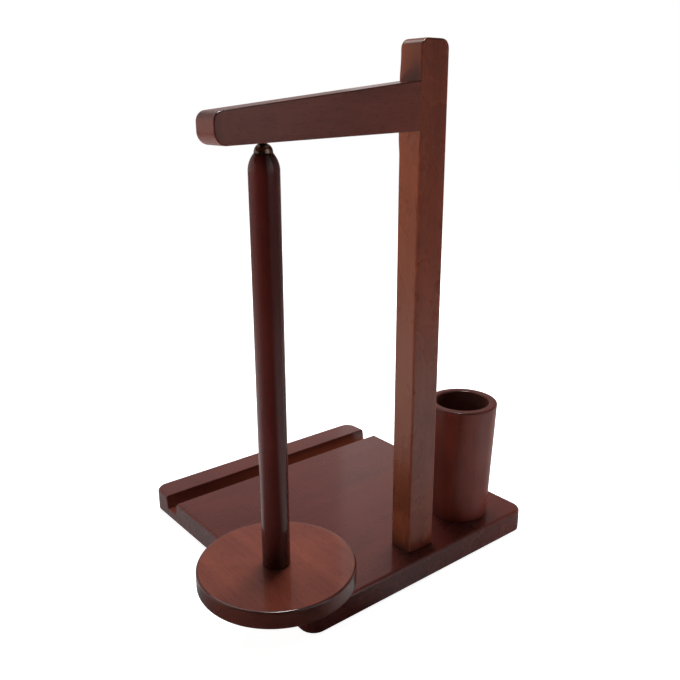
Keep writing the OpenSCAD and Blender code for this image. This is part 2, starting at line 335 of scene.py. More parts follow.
class Graph:
    """Short way to add and join the nodes of one node tree."""

    def __init__(self, tree: bpy.types.NodeTree) -> None:
        """Keeps the tree that the nodes go into."""
        self.tree = tree

    def add(self, kind: str, values: dict | None = None, **settings: object) -> bpy.types.Node:
        """Adds one node.

        Args:
            kind: Blender's name of the node type.
            values: Input name or number to a value, or to the socket that feeds it.
            settings: The node's own options.

        Returns:
            The new node.
        """
        node = self.tree.nodes.new(kind)
        for option, value in settings.items():
            setattr(node, option, value)
        for name, value in (values or {}).items():
            if isinstance(value, Socket):
                self.tree.links.new(value, node.inputs[name])
            else:
                node.inputs[name].default_value = value
        return node

    def math(self, operation: str, *values: object, clamp: bool = False) -> Socket:
        """Does one sum, and again on its result with each value after the second.

        Args:
            operation: Blender's name of the sum.
            values: Numbers or sockets, in their order in the sum.
            clamp: Whether the result stays between 0 and 1.

        Returns:
            The result.
        """
        result = values[0]
        for number, value in enumerate(values[1:], start=2):
            result = self.add("ShaderNodeMath", {0: result, 1: value}, operation=operation,
                              use_clamp=clamp and number == len(values)).outputs[0]
        return result

    def vector(self, operation: str, *values: object) -> Socket:
        """Does one sum on vectors, whose result is a number for a length and a dot product."""
        node = self.add("ShaderNodeVectorMath", dict(enumerate(values)), operation=operation)
        return node.outputs["Value" if operation in ("LENGTH", "DOT_PRODUCT") else "Vector"]

    def noise(self, vector: Socket, stretch: Triple, detail: float, distortion: float = 0.0) -> Socket:
        """Noise whose pattern is drawn out by different amounts in the three directions.

        Args:
            vector: Place on the piece, in metres.
            stretch: Pattern sizes per metre along each direction.
            detail: Number of finer layers.
            distortion: How far the pattern is bent.

        Returns:
            The noise, about a half in the middle.
        """
        scaled = self.vector("MULTIPLY", vector, stretch)
        return self.add("ShaderNodeTexNoise", {"Vector": scaled, "Scale": 1.0, "Detail": detail,
                                               "Distortion": distortion}).outputs["Fac"]

    def about(self, noise: Socket, share: object) -> Socket:
        """Centres a noise on 0 and takes a share of it."""
        return self.math("MULTIPLY", self.math("SUBTRACT", noise, 0.5), share)

    def ramp(self, value: Socket, low: float, high: float) -> Socket:
        """Mask that rises smoothly from 0 at the low value to 1 at the high one."""
        limits = {"Value": value, "From Min": low, "From Max": high}
        return self.add("ShaderNodeMapRange", limits, interpolation_type="SMOOTHSTEP").outputs[0]

    def stops(self, share: Socket, levels: dict[int, float]) -> Socket:
        """Level that changes evenly between stops set at angles.

        Args:
            share: Place between the first and the last angle, from 0 to 1.
            levels: Angle to level, the first at -180 degrees and the last at 180.

        Returns:
            The level there.
        """
        node = self.add("ShaderNodeValToRGB", {"Fac": share})
        stops = node.color_ramp.elements
        for angle in list(levels)[1:-1]:
            stops.new((angle + 180) / 360)
        for stop, level in zip(stops, levels.values()):
            stop.color = (level, level, level, 1.0)
        return self.add("ShaderNodeRGBToBW", {0: node.outputs[0]}).outputs[0]

    def mix(self, share: object, first: object, second: object) -> Socket:
        """Mixes two colours by the share of the second."""
        return self.add("ShaderNodeMix", {0: share, 6: first, 7: second}, data_type="RGBA").outputs[2]

    def effect(self, maker: Callable[[], bpy.types.NodeTree], values: dict) -> Outputs:
        """Places the shared node group that the maker makes and names, made when it is first asked for."""
        tree = bpy.data.node_groups.get(maker.__name__) or maker()
        return self.add("ShaderNodeGroup", values, node_tree=tree).outputs


def new_effect(name: str, inputs: dict[str, tuple[str, ...]],
               outputs: dict[str, tuple[str, ...]]) -> tuple[Graph, Outputs]:
    """Starts a shader node group.

    Args:
        name: Name of the group.
        inputs: Kind of value to the names of its sockets.
        outputs: Kind of value to the names of its sockets.

    Returns:
        A graph that adds nodes to the group, and what the group is given.
    """
    tree = bpy.data.node_groups.new(name, "ShaderNodeTree")
    for direction, kinds in (("INPUT", inputs), ("OUTPUT", outputs)):
        for kind, sockets in kinds.items():
            for socket in sockets:
                tree.interface.new_socket(socket, in_out=direction, socket_type=f"NodeSocket{kind}")
    graph = Graph(tree)
    return graph, graph.add("NodeGroupInput").outputs


def blank(store: object, name: str) -> tuple[object, Graph]:
    """Makes a material or a world whose node tree is empty.

    Args:
        store: Blender's list of materials or of worlds.
        name: Name of the new one.

    Returns:
        The material or world, and a graph that adds nodes to it.
    """
    made = store.new(name)
    made.use_nodes = True
    made.node_tree.nodes.clear()
    return made, Graph(made.node_tree)


def stained_grain() -> bpy.types.NodeTree:
    """Grain of stained close-pored wood: soft figure, fine fibres, short dark pores and cloudy stain.

    The pattern runs along its own X. The colour goes from dark to light with the sum of the figure, the
    fibres and the clouds, each a noise about its middle times its share. Pores are the peaks of a short fine
    noise. Where the edge value is above 0 the colour goes to the edge colour, and where it is below 0 to a
    lighter colour: thinner stain in the cup's bore, painted light in the board's groove and on the post.

    Returns:
        The node group.
    """
    graph, given = new_effect(
        "stained_grain",
        {"Vector": ("Vector",), "Color": ("Light", "Dark", "Edge Colour", "Thin And Lit Colour"),
         "Float": ("Edge", "Figure", "Fibres", "Clouds", "Pores")},
        {"Color": ("Colour",), "Float": ("Clouds", "Height")})
    spot = given["Vector"]
    figure = graph.noise(spot, (7.0, 130.0, 130.0), 4.0, 0.25)
    fibres = graph.noise(spot, (45.0, 1500.0, 1500.0), 3.0)
    clouds = graph.noise(spot, (26.0, 34.0, 34.0), 3.0, 0.4)
    flecks = graph.noise(spot, (260.0, 2300.0, 2300.0), 1.0)
    light = graph.math("ADD", graph.about(figure, given["Figure"]), graph.about(fibres, given["Fibres"]),
                       graph.about(clouds, given["Clouds"]), 0.5, clamp=True)
    pores = graph.ramp(flecks, 0.60, 0.72)
    colour = graph.mix(light, given["Dark"], given["Light"])
    colour = graph.mix(graph.math("MULTIPLY", pores, given["Pores"], clamp=True), colour,
                       graph.mix(0.55, given["Dark"], paint((20, 6, 5))))
    eased = graph.math("MULTIPLY", given["Edge"], graph.math("ADD", clouds, 0.4), clamp=True)
    # Below 0 the edge value gives the lighter colour: thinner stain, and painted light on the post and in the
    # groove.
    thin = graph.math("MULTIPLY", given["Edge"], graph.math("SUBTRACT", -0.5, clouds), clamp=True)
    colour = graph.mix(thin, graph.mix(eased, colour, given["Edge Colour"]), given["Thin And Lit Colour"])
    height = graph.math("SUBTRACT", graph.math("MULTIPLY", fibres, 0.35), pores)
    graph.add("NodeGroupOutput", {"Colour": colour, "Clouds": clouds, "Height": height})
    return graph.tree


def lacquer_film() -> bpy.types.NodeTree:
    """Sprayed lacquer: a faint ripple, a few nibs of dust, and gloss that differs from place to place.

    The ripple is a soft noise of about a millimetre. Nibs are the middles of the few cells whose random
    colour is near the top. The roughness is the given one plus smears and clouds, each about its middle times
    the unevenness. The height is half the ripple plus most of the nibs plus the grain's height times its
    depth.

    Returns:
        The node group.
    """
    graph, given = new_effect(
        "lacquer_film",
        {"Vector": ("Vector",),
         "Float": ("Clouds", "Grain Height", "Roughness", "Unevenness", "Grain Depth")},
        {"Float": ("Roughness", "Height")})
    spot = given["Vector"]
    ripple = graph.noise(spot, (420.0, 420.0, 420.0), 2.0)
    cells = graph.add("ShaderNodeTexVoronoi", {"Vector": spot, "Scale": 260.0}).outputs
    chosen = graph.ramp(graph.add("ShaderNodeSeparateColor", {0: cells["Color"]}).outputs[0], 0.93, 0.95)
    middles = graph.math("SUBTRACT", 1.0, graph.ramp(cells["Distance"], 0.02, 0.10))
    nibs = graph.math("MULTIPLY", chosen, middles)
    smear = graph.noise(spot, (60.0, 90.0, 60.0), 4.0, 0.3)
    rough = graph.math("ADD", given["Roughness"], graph.about(smear, given["Unevenness"]),
                       graph.about(given["Clouds"], given["Unevenness"]), clamp=True)
    height = graph.math("ADD", graph.math("MULTIPLY", ripple, 0.5), graph.math("MULTIPLY", nibs, 0.8),
                        graph.math("MULTIPLY", given["Grain Height"], given["Grain Depth"]))
    graph.add("NodeGroupOutput", {"Roughness": rough, "Height": height})
    return graph.tree


def handled_metal() -> bpy.types.NodeTree:
    """Small metal parts: fine scratches both ways, dull smears, and a tone that changes with them.

    Scratches are two noises drawn out narrow at right angles to each other. The colour goes towards the dull
    one with the smears, and the roughness is the given one plus smears and scratches.

    Returns:
        The node group.
    """
    graph, given = new_effect(
        "handled_metal",
        {"Vector": ("Vector",), "Color": ("Bright", "Dull"), "Float": ("Roughness", "Wear")},
        {"Color": ("Colour",), "Float": ("Roughness", "Height")})
    spot = given["Vector"]
    smears = graph.ramp(graph.noise(spot, (210.0, 210.0, 210.0), 3.0, 0.5), 0.35, 0.7)
    across = graph.noise(spot, (9000.0, 700.0, 5200.0), 2.0)
    along = graph.noise(spot, (700.0, 9000.0, 6100.0), 2.0)
    scratches = graph.ramp(graph.math("MAXIMUM", across, along), 0.60, 0.80)
    worn = graph.math("MULTIPLY", smears, given["Wear"], clamp=True)
    scored = graph.math("MULTIPLY", scratches, graph.math("MULTIPLY", given["Wear"], 0.2))
    rough = graph.math("ADD", given["Roughness"], graph.math("MULTIPLY", worn, 0.22), scored, clamp=True)
    colour = graph.mix(worn, given["Bright"], given["Dull"])
    graph.add("NodeGroupOutput", {"Colour": colour, "Roughness": rough, "Height": scratches})
    return graph.tree


def white_surround() -> bpy.types.NodeTree:
    """White paper round the holder as the lacquer mirrors it, open on the camera's side.

    The angle is that of the direction's level part, from the camera's side, positive to the viewer's right.
    Paper is how bright the table is at that angle. Backdrop is how bright the upright paper is there,
    brightest in a panel on the right, and falls off with height above the paper's edge.

    Returns:
        The node group.
    """
    graph, given = new_effect("white_surround", {"Vector": ("Direction",)}, {"Float": ("Paper", "Backdrop")})
    ray = given["Direction"]
    parts = [graph.vector("DOT_PRODUCT", ray, side) for side in (TO_VIEWERS_RIGHT, TO_CAMERA)]
    turn = graph.math("ARCTAN2", *parts)
    share = graph.math("ADD", graph.math("DIVIDE", turn, 2 * np.pi), 0.5)
    paper = graph.stops(share, {-180: 0.8, -132: 0.55, -110: 1.0, -72: 0.95, -52: 0.2, -35: 0.05, 20: 0.05,
                                42: 0.75, 70: 0.6, 84: 0.48, 110: 0.6, 180: 1.0})
    panels = graph.stops(share, {-180: 0.46, -140: 0.5, -110: 0.9, -72: 0.9, -52: 0.2, -35: 0.05, 22: 0.05,
                                 42: 1.0, 60: 1.1, 69: 2.0, 78: 0.45, 84: 0.3, 168: 0.3, 180: 1.0})
    height = graph.add("ShaderNodeSeparateXYZ", {0: ray}).outputs[2]
    fall = graph.math("MULTIPLY", graph.ramp(height, *BACKDROP_TOP), BACKDROP_DROP)
    low = graph.math("SUBTRACT", 1.0, fall)
    graph.add("NodeGroupOutput", {"Paper": paper, "Backdrop": graph.math("MULTIPLY", panels, low)})
    return graph.tree


@dataclass(frozen=True)
class Finish:
    """What all finishes have: a name, and the record's material slot that they belong to."""

    made: ClassVar[dict[str, bpy.types.Material]] = {}

    name: str
    slot: str

    def material(self) -> bpy.types.Material:
        """Makes the material when it is first asked for.

        Returns:
            The finished material.
        """
        if self.name not in self.made:
            material, graph = blank(bpy.data.materials, self.name)
            self.dress(graph)
            self.made[self.name] = material
        return self.made[self.name]

    def dress(self, graph: Graph) -> None:
        """Builds the material's nodes."""
        raise NotImplementedError

    def shader(self, graph: Graph, height: Socket, bump: float, depth: float, surface: dict) -> None:
        """Adds the Principled shader, its bump and the material's output.

        Args:
            graph: The material's nodes.
            height: Height that the bump follows.
            bump: How strong the bump is.
            depth: How deep it is, in millimetres.
            surface: The shader's input name to a value, or to the socket that feeds it.
        """
        bent = graph.add("ShaderNodeBump", {"Strength": bump, "Distance": depth * MM, "Height": height})
        principled = graph.add("ShaderNodeBsdfPrincipled", {**surface, "Normal": bent.outputs[0]})
        graph.add("ShaderNodeOutputMaterial", {"Surface": principled.outputs[0]})


@dataclass(frozen=True)
class StainedWood(Finish):
    """Stained and lacquered wood, whose grain runs one way through the piece."""

    grain: Grain
    centre: Triple
    light: Triple
    dark: Triple
    edge: Triple
    # Lighter colour where the edge value is below 0: thinner stain in the cup's bore, and painted light in the
    # board's groove and on the post's face on the arm's side.
    thin: Triple = (134, 72, 44)
    figure: float = 0.9
    fibres: float = 0.5
    clouds: float = 1.0
    pores: float = 0.45
    roughness: float = 0.38
    unevenness: float = 0.12
    grain_depth: float = 0.8
    bump: float = 0.35
    bump_depth: float = 0.05
    specular: float = 0.22
    coat: float = 0.35
    coat_roughness: float = 0.09

    def dress(self, graph: Graph) -> None:
        """Builds the grain, its stain and the film of lacquer over it.

        Args:
            graph: The material's nodes.
        """
        spot = graph.add("ShaderNodeTexCoord").outputs["Object"]
        along = graph.add("ShaderNodeMapping", {"Vector": spot, "Location": Vector(self.centre),
                                                "Rotation": Vector(self.grain.value)}).outputs[0]
        eased = graph.add("ShaderNodeAttribute", attribute_name=EDGE).outputs["Fac"]
        wood = graph.effect(stained_grain, {
            "Vector": along, "Edge": eased, "Light": paint(self.light), "Dark": paint(self.dark),
            "Edge Colour": paint(self.edge), "Thin And Lit Colour": paint(self.thin), "Figure": self.figure,
            "Fibres": self.fibres, "Clouds": self.clouds, "Pores": self.pores})
        film = graph.effect(lacquer_film, {
            "Vector": spot, "Clouds": wood["Clouds"], "Grain Height": wood["Height"],
            "Roughness": self.roughness, "Unevenness": self.unevenness, "Grain Depth": self.grain_depth})
        self.shader(graph, film["Height"], self.bump, self.bump_depth, {
            "Base Color": wood["Colour"], "Roughness": film["Roughness"], "Specular IOR Level": self.specular,
            "Coat Weight": self.coat, "Coat Roughness": self.coat_roughness})


@dataclass(frozen=True)
class Metal(Finish):
    """A small metal part."""

    bright: Triple
    dull: Triple
    roughness: float
    wear: float
    bump: float = 0.15
    bump_depth: float = 0.01

    def dress(self, graph: Graph) -> None:
        """Builds the metal's tone, scratches and smears.

        Args:
            graph: The material's nodes.
        """
        metal = graph.effect(handled_metal, {
            "Vector": graph.add("ShaderNodeTexCoord").outputs["Object"], "Bright": paint(self.bright),
            "Dull": paint(self.dull), "Roughness": self.roughness, "Wear": self.wear})
        self.shader(graph, metal["Height"], self.bump, self.bump_depth, {
            "Base Color": metal["Colour"], "Roughness": metal["Roughness"], "Metallic": 1.0})


@dataclass(frozen=True)
class Rubber(Finish):
    """Matt rubber with a fine pebbled skin and a little dust."""

    tone: Triple = (34, 33, 33)
    dust: Triple = (96, 92, 88)
    roughness: float = 0.78
    pebble_scale: float = 2600.0
    dust_spots: Triple = (320.0, 320.0, 320.0)
    dust_share: float = 0.35
    dust_roughness: float = 0.1
    bump: float = 0.4
    bump_depth: float = 0.03

    def dress(self, graph: Graph) -> None:
        """Builds the rubber's skin and its dust.

        Args:
            graph: The material's nodes.
        """
        spot = graph.add("ShaderNodeTexCoord").outputs["Object"]
        cells = graph.add("ShaderNodeTexVoronoi", {"Vector": spot, "Scale": self.pebble_scale})
        pebbles = cells.outputs["Distance"]
        dust = graph.ramp(graph.noise(spot, self.dust_spots, 4.0), 0.5, 0.75)
        colour = graph.mix(graph.math("MULTIPLY", dust, self.dust_share), paint(self.tone), paint(self.dust))
        rough = graph.math("ADD", graph.math("MULTIPLY", dust, self.dust_roughness), self.roughness)
        self.shader(graph, pebbles, self.bump, self.bump_depth, {"Base Color": colour, "Roughness": rough})


@dataclass
class BaseBoard:
    """Base board with rounded corners, rounded upper edges and the phone groove near its far edge."""

    middle: Pair = (26.1835, 13.0)
    foot_z: float = 1.5
    half_width: float = 91.0
    half_depth: float = 94.0
    thickness: float = 15.0
    corner_r: float = 9.0
    top_r: float = 2.0
    bottom_r: float = 0.8
    groove_y: float = 67.5
    groove_half_w: float = 7.5
    groove_floor_half_w: float = 6.5
    groove_depth: float = 9.0
    groove_edge_r: float = 0.5
    groove_end_r: float = 0.9
    lip_share: float = 0.5
    # Painted light in the groove: where it starts along X, over what length it grows, its least share, and its
    # share on the floor.
    thin_from_x: float = -100.0
    thin_over: float = 180.0
    thin_least: float = 0.25
    thin_on_floor: float = 0.4
    # Its lighter colour is the painted light in the groove.
    finish: StainedWood = StainedWood(
        "board_mahogany", "base_wood", Grain.ALONG_X, (0.11, 0.02, 0.03), light=(96, 42, 34),
        dark=(70, 29, 24), edge=(90, 37, 29), thin=(148, 84, 60), figure=0.6, fibres=0.35, pores=0.25,
        roughness=0.28, bump=0.12, specular=0.2, coat=0.55)

    def stations(self) -> np.ndarray:
        """Places along X of the sections, close together where the corners and edges curve.

        Returns:
            Distances from the board's middle, from one end to the other.
        """
        rounds = ((self.corner_r, 16), (self.top_r, 10), (self.bottom_r, 6))
        one_side = np.concatenate([self.half_width - from_end(radius, steps) for radius, steps in rounds])
        one_side = np.unique(np.round(one_side, 4))
        return np.concatenate([-one_side[::-1], one_side])

    def half_span(self, inset: np.ndarray, reach: np.ndarray) -> np.ndarray:
        """Half the depth at a section: the edge, moved in, then the corner's circle, reached into."""
        circle = np.sqrt(np.maximum((self.corner_r - inset) ** 2 - reach ** 2, 0.0))
        return self.half_depth - self.corner_r + circle

    def surface(self) -> Sweep:
        """Sweeps the board's section along X, with the section a function of its place.

        A point of a rounded edge lies at an angle along the edge's arc, and the arc ends where the outline,
        moved in by that much, no longer reaches the section. The groove's walls and floor flare out at both
        ends. The groove is painted lighter, a painted light that grows with X, and less so on its floor.

        Returns:
            The board's surface.
        """
        x = self.stations()[:, None]
        count = len(x)
        reach = np.maximum(np.abs(x) - (self.half_width - self.corner_r), 0.0)
        room = self.half_width - np.abs(x)
        step = np.linspace(0.0, 1.0, 9)[None, :]
        low_turn = np.arccos(1 - np.minimum(room, self.bottom_r) / self.bottom_r) * step
        top_turn = np.arccos(1 - np.minimum(room, self.top_r) / self.top_r) * step
        low_y = self.half_span(self.bottom_r * (1 - np.cos(low_turn)), reach)
        low_z = self.bottom_r * (1 - np.sin(low_turn))
        top_y = self.half_span(self.top_r * (1 - np.cos(top_turn)), reach)
        top_z = self.thickness - self.top_r * (1 - np.sin(top_turn))
        flare = quarter(self.groove_end_r, self.groove_end_r - room)
        lean = (self.groove_half_w - self.groove_floor_half_w) / self.groove_depth
        ease = sweep_angles(5)[None, :]
        lip_z = top_z[:, -1:] - self.groove_edge_r * (1 - np.cos(ease))
        lip_y = (self.groove_half_w + flare + self.groove_edge_r * (1 - np.sin(ease))
                 - lean * (self.thickness - lip_z))
        foot_y = (self.groove_floor_half_w + flare - self.groove_edge_r * np.sin(ease))[:, ::-1]
        foot_z = (self.thickness - self.groove_depth - flare
                  + self.groove_edge_r * (1 - np.cos(ease)))[:, ::-1]
        y = side_by_side([-low_y, low_y[:, ::-1], top_y, self.groove_y + lip_y, self.groove_y + foot_y,
                          self.groove_y - foot_y[:, ::-1], self.groove_y - lip_y[:, ::-1],
                          -top_y[:, ::-1]], count)
        z = side_by_side([low_z, low_z[:, ::-1], top_z, lip_z, foot_z, foot_z[:, ::-1], lip_z[:, ::-1],
                          top_z[:, ::-1]], count)
        bow, lip = np.sin(np.pi * step), self.lip_share * np.sin(2 * ease)
        # Painted light: the groove's walls and floor are painted lighter, more so with X.
        thin = -np.clip((x - self.thin_from_x) / self.thin_over, self.thin_least, 1.0)
        wall = thin * np.linspace(1.0, self.thin_on_floor, ease.shape[1])[None, :]
        edge = side_by_side([bow, bow, bow, lip, wall, wall[:, ::-1], lip, bow], count)
        end = np.where(room < self.top_r, np.sin(np.pi * room / self.top_r), 0.0)
        upper = z > self.thickness - self.top_r
        edge = np.where(edge < 0, edge, np.maximum(edge, end * upper)) * (room > 0.0)
        x = np.broadcast_to(x, y.shape)
        rings = np.stack([x + self.middle[0], y + self.middle[1], z + self.foot_z], axis=-1)
        return Sweep(rings, edge)

    def build(self, screws: "Screws") -> None:
        """Builds the board, with the countersunk holes of its screws."""
        cuts = tuple(screws.hole(centre, self.foot_z, self.thickness) for centre in screws.board_centres)
        place(self.surface(), "base_board_wood", "base_board", self.finish, "stand", cuts)


@dataclass
class Post:
    """Upright post with two rounded top corners, whose edges are eased away from the arm."""

    centre: Pair = (27.1835, -64.0)
    foot_z: float = 16.5
    top_z: float = 311.5
    half_width: float = 10.0
    half_depth: float = 8.0
    top_r: float = 5.0
    edge_r: float = 1.2
    crisp_r: float = 0.12
    arm_z: Pair = (266.0, 291.0)
    join_reach: Pair = (16.0, 14.0)
    crisp_reach: Pair = (3.0, 1.0)
    crisp_fade: float = 11.0
    # Painted light: the face on the arm's side is painted lighter and goldener at this share, fading over this
    # height below the arm's top to this least share.
    thin_share: float = 0.6
    thin_fade: float = 60.0
    thin_least: float = 0.5
    # Its lighter colour is the painted light on the face on the arm's side.
    finish: StainedWood = StainedWood(
        "post_mahogany", "post_wood", Grain.ALONG_Z, (0.013, 0.07, -0.02), light=(134, 65, 43),
        dark=(103, 46, 31), edge=(146, 72, 49), thin=(146, 76, 41), fibres=0.8, pores=0.6, roughness=0.28,
        coat=0.22)

    def levels(self) -> np.ndarray:
        """Heights of the sections, close together at the foot, where the arm joins, and at the top.

        Returns:
            Heights from the foot to the top, one in each row.
        """
        foot = self.foot_z + FOOT_EDGE_R * (1 - np.cos(sweep_angles(4)))
        join = np.linspace(self.arm_z[0] - self.join_reach[0], self.arm_z[1] + self.join_reach[1], 46)
        near_top = self.top_z - from_end(self.top_r, 16)
        very_top = self.top_z - from_end(self.edge_r, 8)
        return np.unique(np.round(np.concatenate([foot, join, near_top, very_top]), 3))[:, None]

    def surface(self) -> Sweep:
        """Sweeps a rounded rectangle up the post.

        The half width falls along a quarter circle near the top, and the half depth along a smaller one. The
        corners on the arm's side are almost sharp where the arm meets the post, and ease in over a few
        millimetres. Between them the face is painted lighter and goldener, a painted light, least so at the
        top.

        Returns:
            The post's surface.
        """
        z = self.levels()
        side = quarter(self.top_r, z - (self.top_z - self.top_r))
        face = quarter(self.edge_r, z - (self.top_z - self.edge_r))
        base = quarter(FOOT_EDGE_R, self.foot_z + FOOT_EDGE_R - z)
        half_x, half_y = self.half_width - side - base, self.half_depth - face - base
        away = np.maximum(self.arm_z[0] - self.crisp_reach[0] - z, z - self.arm_z[1] - self.crisp_reach[1])
        away = np.clip(away / self.crisp_fade, 0.0, 1.0)
        eased = self.crisp_r + (self.edge_r - self.crisp_r) * away ** 2 * (3 - 2 * away)
        # Painted light on the face on the arm's side: fully well below the arm, less near the arm and above
        # it.
        thin = -self.thin_share * np.clip((self.arm_z[1] - z[:, 0]) / self.thin_fade, self.thin_least, 1.0)
        turn = sweep_angles(6)[None, :]
        xs, ys, shares = [], [], []
        for start, sign_x, sign_y in ((0.0, 1, 1), (np.pi / 2, -1, 1), (np.pi, -1, -1), (1.5 * np.pi, 1, -1)):
            radius = eased if sign_x < 0 else np.full_like(z, self.edge_r)
            xs.append(sign_x * (half_x - radius) + radius * np.cos(turn + start))
            ys.append(sign_y * (half_y - radius) + radius * np.sin(turn + start))
            shares.append(np.sin(2 * turn) * radius / self.edge_r)
            if sign_x < 0:
                shares[-1][:, -1 if sign_y > 0 else 0] = thin
        x, y = np.concatenate(xs, axis=1), np.concatenate(ys, axis=1)
        rings = np.stack([x + self.centre[0], y + self.centre[1], np.broadcast_to(z, x.shape)], axis=-1)
        return Sweep(rings, np.concatenate(shares, axis=1))

    def build(self) -> None:
        """Builds the post."""
        place(self.surface(), "post_wood", "post", self.finish, "stand")


@dataclass
class Arm:
    """Arm that tapers towards a rounded free end, flush with the post on both faces."""

    root_x: float = 17.1835
    tip_x: float = -103.8165
    middle_y: float = -64.0
    half_depth: float = 8.0
    root_z: Pair = (266.0, 291.0)
    tip_z: Pair = (262.5, 277.0)
    tip_radii: Pair = (6.0, 5.0)
    edge_r: float = 0.8
    magnet_place: Pair = (-74.3165, 263.3533)
    magnet_hole_r: float = 5.1
    magnet_hole_depth: float = 4.1
    magnet_hole_segments: int = 64
    end_share: float = 0.75
    finish: StainedWood = StainedWood(
        "arm_mahogany", "arm_wood", Grain.ALONG_X, (0.05, 0.07, 0.11), light=(124, 60, 47), dark=(94, 44, 34),
        edge=(88, 38, 29), fibres=0.7, roughness=0.25, specular=0.34, coat=0.1, coat_roughness=0.14)

    def outline(self) -> tuple[np.ndarray, np.ndarray]:
        """Side view of the arm, from the root's underside round the free end to the root's top.

        Each corner at the free end is an arc: its centre plus its radius times a normal that turns evenly
        from the one edge's to the next one's.

        Returns:
            Points along the outline, and the outward direction at each, which stays in the root's plane at
            both ends.
        """
        corners = np.array([[self.root_x, self.root_z[0]], [self.tip_x, self.tip_z[0]],
                            [self.tip_x, self.tip_z[1]], [self.root_x, self.root_z[1]]])
        along = np.diff(corners, axis=0)
        along /= np.linalg.norm(along, axis=1, keepdims=True)
        outward = np.stack([-along[:, 1], along[:, 0]], axis=1)
        outward *= np.sign((outward * (corners[:-1] - corners.mean(axis=0))).sum(axis=1, keepdims=True))
        points, normals = [corners[:1]], [np.array([[0.0, 1.0 / outward[0, 1]]])]
        for number, radius in enumerate(self.tip_radii, start=1):
            before, after = outward[number - 1], outward[number]
            angle = np.unwrap([np.arctan2(before[1], before[0]), np.arctan2(after[1], after[0])])
            turn = np.linspace(angle[0], angle[1], 19)
            normal = np.stack([np.cos(turn), np.sin(turn)], axis=1)
            centre = corners[number] - (before + after) * radius / (1 + before @ after)
            points.append(centre + radius * normal)
            normals.append(normal)
        points.append(corners[-1:])
        normals.append(np.array([[0.0, 1.0 / outward[2, 1]]]))
        return np.concatenate(points), np.concatenate(normals)

    def surface(self) -> Sweep:
        """Carries the outline across the arm, moved inwards near both faces along a quarter circle.

        The end grain takes more stain: its share grows with how far the outline faces the free end.

        Returns:
            The arm's surface.
        """
        points, normals = self.outline()
        ease = sweep_angles(7)
        inset = from_end(self.edge_r, 7)
        depth = self.edge_r * (1 - np.cos(ease))
        moved = np.concatenate([inset, inset[::-1]])[:, None, None]
        across = np.concatenate([-self.half_depth + depth, self.half_depth - depth[::-1]])[:, None]
        share = np.tile(np.sin(2 * ease), 2)[:, None]
        end_grain = self.end_share * np.clip(-normals[:, 0], 0.0, 1.0)[None, :]
        ring = points[None] - moved * normals[None]
        level = np.broadcast_to(self.middle_y + across, ring.shape[:2])
        rings = np.stack([ring[..., 0], level, ring[..., 1]], axis=-1)
        return Sweep(rings, np.maximum(share, end_grain))

    def magnet_hole(self) -> Sweep:
        """Hole for the magnet, square to the arm's sloping underside.

        Returns:
            A short cylinder that starts below the underside.
        """
        radius, low, high = self.magnet_hole_r, -CUT_OVERRUN, self.magnet_hole_depth
        hole = turned(flat((0.0, low), (radius, low), (radius, high), (0.0, high)), (0.0, 0.0),
                      self.magnet_hole_segments)
        slope = np.arctan2(self.root_z[0] - self.tip_z[0], self.root_x - self.tip_x)
        tilt = np.array([[np.cos(slope), 0.0, -np.sin(slope)],
                         [0.0, 1.0, 0.0],
                         [np.sin(slope), 0.0, np.cos(slope)]])
        middle = np.array([self.magnet_place[0], self.middle_y, self.magnet_place[1]])
        return Sweep(hole.rings @ tilt.T + middle, hole.edge, hole.first, hole.last)

    def build(self) -> None:
        """Builds the arm, with the hole for its magnet."""
        place(self.surface(), "arm_wood", "arm", self.finish, "stand", (self.magnet_hole(),))


@dataclass
class ToolCup:
    """Turned cup that widens towards its rim."""

    centre: Pair = (81.1835, -52.5)
    foot_z: float = 16.5
    height: float = 78.5
    foot_r: float = 19.25
    rim_r: float = 22.5
    bore_r: float = 17.0
    floor_t: float = 10.0
    rim_edge_r: float = 1.2
    fillet_r: float = 1.5
    segments: int = 160
    finish: StainedWood = StainedWood(
        "cup_mahogany", "cup_wood", Grain.ALONG_Z, (-0.02, 0.11, 0.0), light=(122, 54, 41), dark=(86, 36, 28),
        edge=(70, 32, 26), thin=(98, 64, 56), specular=0.12, coat=0.25, coat_roughness=0.14)

    def surface(self) -> Sweep:
        """Turns the cup's profile: up the wall, over the rim's two arcs, down the bore and across the floor.

        The rim's top has the edge's full share, and the bore a share of -1, as the stain is thinner in it.

        Returns:
            The cup's surface.
        """
        top, floor, edge = self.foot_z + self.height, self.foot_z + self.floor_t, self.rim_edge_r
        flare = self.rim_r - self.foot_r
        lean = np.arctan2(flare, self.height)
        outer_x = self.rim_r - flare * edge / self.height - edge / np.cos(lean)
        outer = arc((outer_x, top - edge), edge, -np.degrees(lean), 90, 8)
        inner = arc((self.bore_r + edge, top - edge), edge, 90, 180, 8)
        outer[4:, 2], inner[:5, 2], inner[-1, 2] = 1.0, 1.0, -1.0
        fillet = arc((self.bore_r - self.fillet_r, floor + self.fillet_r), self.fillet_r, 0, -90, 6)
        fillet[:, 2] = -1.0
        wall = np.linspace(0.02, 0.98, 12)[1:-1]
        side = np.stack([self.foot_r + flare * wall, self.foot_z + self.height * wall, 0 * wall], axis=1)
        profile = np.concatenate([turned_foot(self.foot_r, self.foot_z), side, outer, inner, fillet,
                                  flat((0.0, floor), share=-1.0)])
        return turned(profile, self.centre, self.segments)

    def build(self) -> None:
        """Builds the cup."""
        place(self.surface(), "tool_cup_wood", "tool_cup", self.finish, "stand")


